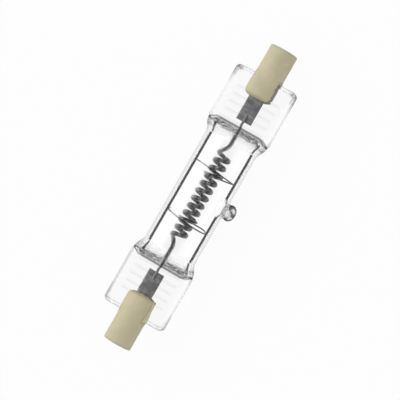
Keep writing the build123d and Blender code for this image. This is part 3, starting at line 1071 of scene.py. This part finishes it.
def seal_cement(sign):
    """Cement in the cap's slot, over and under the pinch and behind its end."""
    start, end = CAP_START + CEMENT_SETBACK, SLOT_END - CEMENT_GAP
    proud = [(place, radius + float(np.interp(place, *zip(*CEMENT_PROUD[sign]))))
             for place, radius in cap_side() if start < place < end]
    profile = [(start, 0)] + proud
    profile = [(sign * place, radius) for place, radius in profile + [(end, profile[-1][1]), (end, 0)]]
    cuts = [
        slab("INTERSECT", sign * FAR, HALF_SLOT - CEMENT_GAP),
        slab("DIFFERENCE", sign * (PINCH_END - CEMENT_BITE), HALF_THICKNESS - CEMENT_BITE),
    ]
    if sign < 0:
        cuts += [("DIFFERENCE", *corners) for corners in RUN_OUT_LIMITS]
    return carved("seal_cement", lathe(profile), cuts, CEMENT_VOXEL, CEMENT_SOFTEN)


for side, sign in SIDES:
    add_piece(f"{side}_seal_cement", seal_cement(sign), [f"{side}_cement"], [CEMENT[side]])
    add_piece(f"{side}_ceramic_cap", ceramic_cap(sign), [f"{side}_cap"], [CERAMIC])


def foil_mesh(sign):
    """Thin foil sealed in the pinch: feather edges, and gentle crinkles that are flatter along the leads."""
    rows, columns = FOIL_GRID
    y, x = np.meshgrid(np.linspace(-FOIL_HALF_WIDTH, FOIL_HALF_WIDTH, columns), np.linspace(FOIL_START, FOIL_END, rows))
    flat = np.stack([x.ravel(), y.ravel(), np.zeros(x.size)], axis=1)
    crinkle = FOIL_CRINKLE * wrinkles(flat * (1.0, 0.3, 1), 1.1, 11.0 + sign)
    crinkle += FOIL_FINE_CRINKLE * wrinkles(flat, 0.45, 17.0 + sign)
    height = FOIL_MIDDLE + crinkle * (1 - 0.9 * bell(flat[:, 1], 0, FOIL_WELD))
    feather = FOIL_HALF_THICKNESS * np.clip((FOIL_HALF_WIDTH - np.abs(flat[:, 1])) / FOIL_FEATHER, 0.1, 1)
    top = np.stack([sign * flat[:, 0], flat[:, 1], height + feather], axis=1)
    bottom = np.stack([sign * flat[:, 0], flat[:, 1], height - feather], axis=1)
    grid = np.arange(rows * columns).reshape(rows, columns)
    faces = []
    for row in range(rows - 1):
        for column in range(columns - 1):
            quad = [grid[row, column], grid[row + 1, column], grid[row + 1, column + 1], grid[row, column + 1]]
            faces += [quad, [spot + top.shape[0] for spot in reversed(quad)]]
    rim = list(grid[0]) + list(grid[1:, -1]) + list(grid[-1, -2::-1]) + list(grid[-2:0:-1, 0])
    for spot, after in zip(rim, onward(rim)):
        faces.append([spot, after, after + top.shape[0], spot + top.shape[0]])
    shape = bmesh.new()
    corners = [shape.verts.new(point * MM) for point in np.concatenate([top, bottom])]
    for face in faces:
        shape.faces.new([corners[spot] for spot in face])
    return finished_mesh("foil", shape)


for side, sign in SIDES:
    add_piece(f"{side}_crinkled_foil", foil_mesh(sign), [f"{side}_foil"], [FOIL])


def dress(node, material):
    """Gives a CAD node its finish."""
    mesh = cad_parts[node].data
    mesh.materials.clear()
    mesh.materials.append(material)


for side, _ in SIDES:
    dress(f"{side}_inner_lead", LEAD)
    dress(f"{side}_outer_lead", LEAD)
    dress(f"{side}_contact", NICKEL)


# Stage: white floor, studio light and the camera
FLOOR_WHITE = 0.95
SIDE_LIGHT = 1.15
SIDE_LEAN = 0.25
CEILING_LIGHT = 0.75
CEILING_DARK = 0.3
SOFTBOX_LIGHT = 1.6
SOFTBOX = (0.0, 0.77, 0.64)
FLOOR_HEIGHT = -TUBE_RADIUS * MM
FLOOR_REACH = 3.0
CAMERA_DISTANCE = 445.0
VIEW_WIDTH = 92.5
PICTURE_PIXELS = 400
VIEW_OFFSET = (0.6, 2.75)
SENSOR_WIDTH = 36.0
BOUNCES = 32


def seen_ray(tree, *kinds):
    """1 for the named kinds of ray."""
    rays = [tree.node("ShaderNodeLightPath", output=kind) for kind in kinds]
    return reduce(lambda first, second: first.maths("MAXIMUM", first, second), rays)


def floor_finish():
    """White for the camera, with a trace of shadow; plain paint for the light that it throws back."""
    material, tree = new_material("floor_white")
    paint = tree.node("ShaderNodeBsdfDiffuse", None, {"Color": (0.9, 0.9, 0.9, 1.0)})
    glow = tree.node("ShaderNodeEmission", None, {"Color": (1.0, 1.0, 1.0, 1.0), "Strength": 1.0})
    seen = seen_ray(tree, "Is Camera Ray", "Is Glossy Ray", "Is Transmission Ray")
    mix = tree.node("ShaderNodeMixShader", None, {0: seen * FLOOR_WHITE, 1: paint, 2: glow})
    tree.node("ShaderNodeOutputMaterial", None, {"Surface": mix})
    return material


floor_mesh = bpy.data.meshes.new("floor")
floor_corners = [(x * FLOOR_REACH, y * FLOOR_REACH, FLOOR_HEIGHT) for x, y in ((-1, -1), (1, -1), (1, 1), (-1, 1))]
floor_mesh.from_pydata(floor_corners, [], [(0, 1, 2, 3)])
floor_mesh.materials.append(floor_finish())
floor = bpy.data.objects.new("floor", floor_mesh)
bpy.context.scene.collection.objects.link(floor)


def studio_world():
    """White all round for the camera; for light and reflections, bright sides and a dimmer ceiling."""
    world = bpy.data.worlds.new("studio")
    bpy.context.scene.world = world
    world.use_nodes = True
    world.node_tree.nodes.clear()
    tree = Tree(world.node_tree)
    towards = tree.node("ShaderNodeTexCoord", output="Generated")
    split = tree.node("ShaderNodeSeparateXYZ", None, {0: towards})
    left = Socket(tree, split.output.node.outputs["Y"])
    up = Socket(tree, split.output.node.outputs["Z"])
    softbox = tree.node("ShaderNodeVectorMath", {"operation": "DOT_PRODUCT"}, {0: towards, 1: SOFTBOX}, output="Value")
    low = tree.ramp(up, (0.2, 1.0), (0.62, 0.0))
    sides = low * (SIDE_LIGHT + left * SIDE_LEAN)
    mirrored = seen_ray(tree, "Is Glossy Ray")
    ceiling = (1 - low) * (CEILING_LIGHT - mirrored * CEILING_DARK)
    light = sides + ceiling + tree.ramp(softbox, (0.82, 0.0), (0.95, 1.0)) * SOFTBOX_LIGHT
    camera = seen_ray(tree, "Is Camera Ray")
    level = light * (1 - camera) + camera
    sky = tree.node("ShaderNodeBackground", None, {"Strength": level})
    tree.node("ShaderNodeOutputWorld", None, {"Surface": sky})


studio_world()


def add_camera():
    """Camera over the lamp, turned so that the lamp leans to the right in the picture."""
    towards = np.array([0, -sin(VIEW_ROLL), cos(VIEW_ROLL)])
    along = np.array([1.0, 0.0, 0.0])
    across = np.array([0, -cos(VIEW_ROLL), -sin(VIEW_ROLL)])
    right = sin(VIEW_LEAN) * along + cos(VIEW_LEAN) * across
    up = cos(VIEW_LEAN) * along - sin(VIEW_LEAN) * across
    middle = -(VIEW_OFFSET[0] * right + VIEW_OFFSET[1] * up) * VIEW_WIDTH / PICTURE_PIXELS
    place = (middle + towards * CAMERA_DISTANCE) * MM
    data = bpy.data.cameras.new("camera")
    data.sensor_width = SENSOR_WIDTH
    data.lens = SENSOR_WIDTH * CAMERA_DISTANCE / VIEW_WIDTH
    data.clip_start, data.clip_end = 0.01, 20.0
    camera = bpy.data.objects.new("camera", data)
    bpy.context.scene.collection.objects.link(camera)
    camera.matrix_world = Matrix((*zip(right, up, towards, place), (0, 0, 0, 1)))
    bpy.context.scene.camera = camera


add_camera()
bpy.context.scene.view_settings.view_transform = "Standard"
for limit in ("max_bounces", "glossy_bounces", "transmission_bounces"):
    setattr(bpy.context.scene.cycles, limit, BOUNCES)
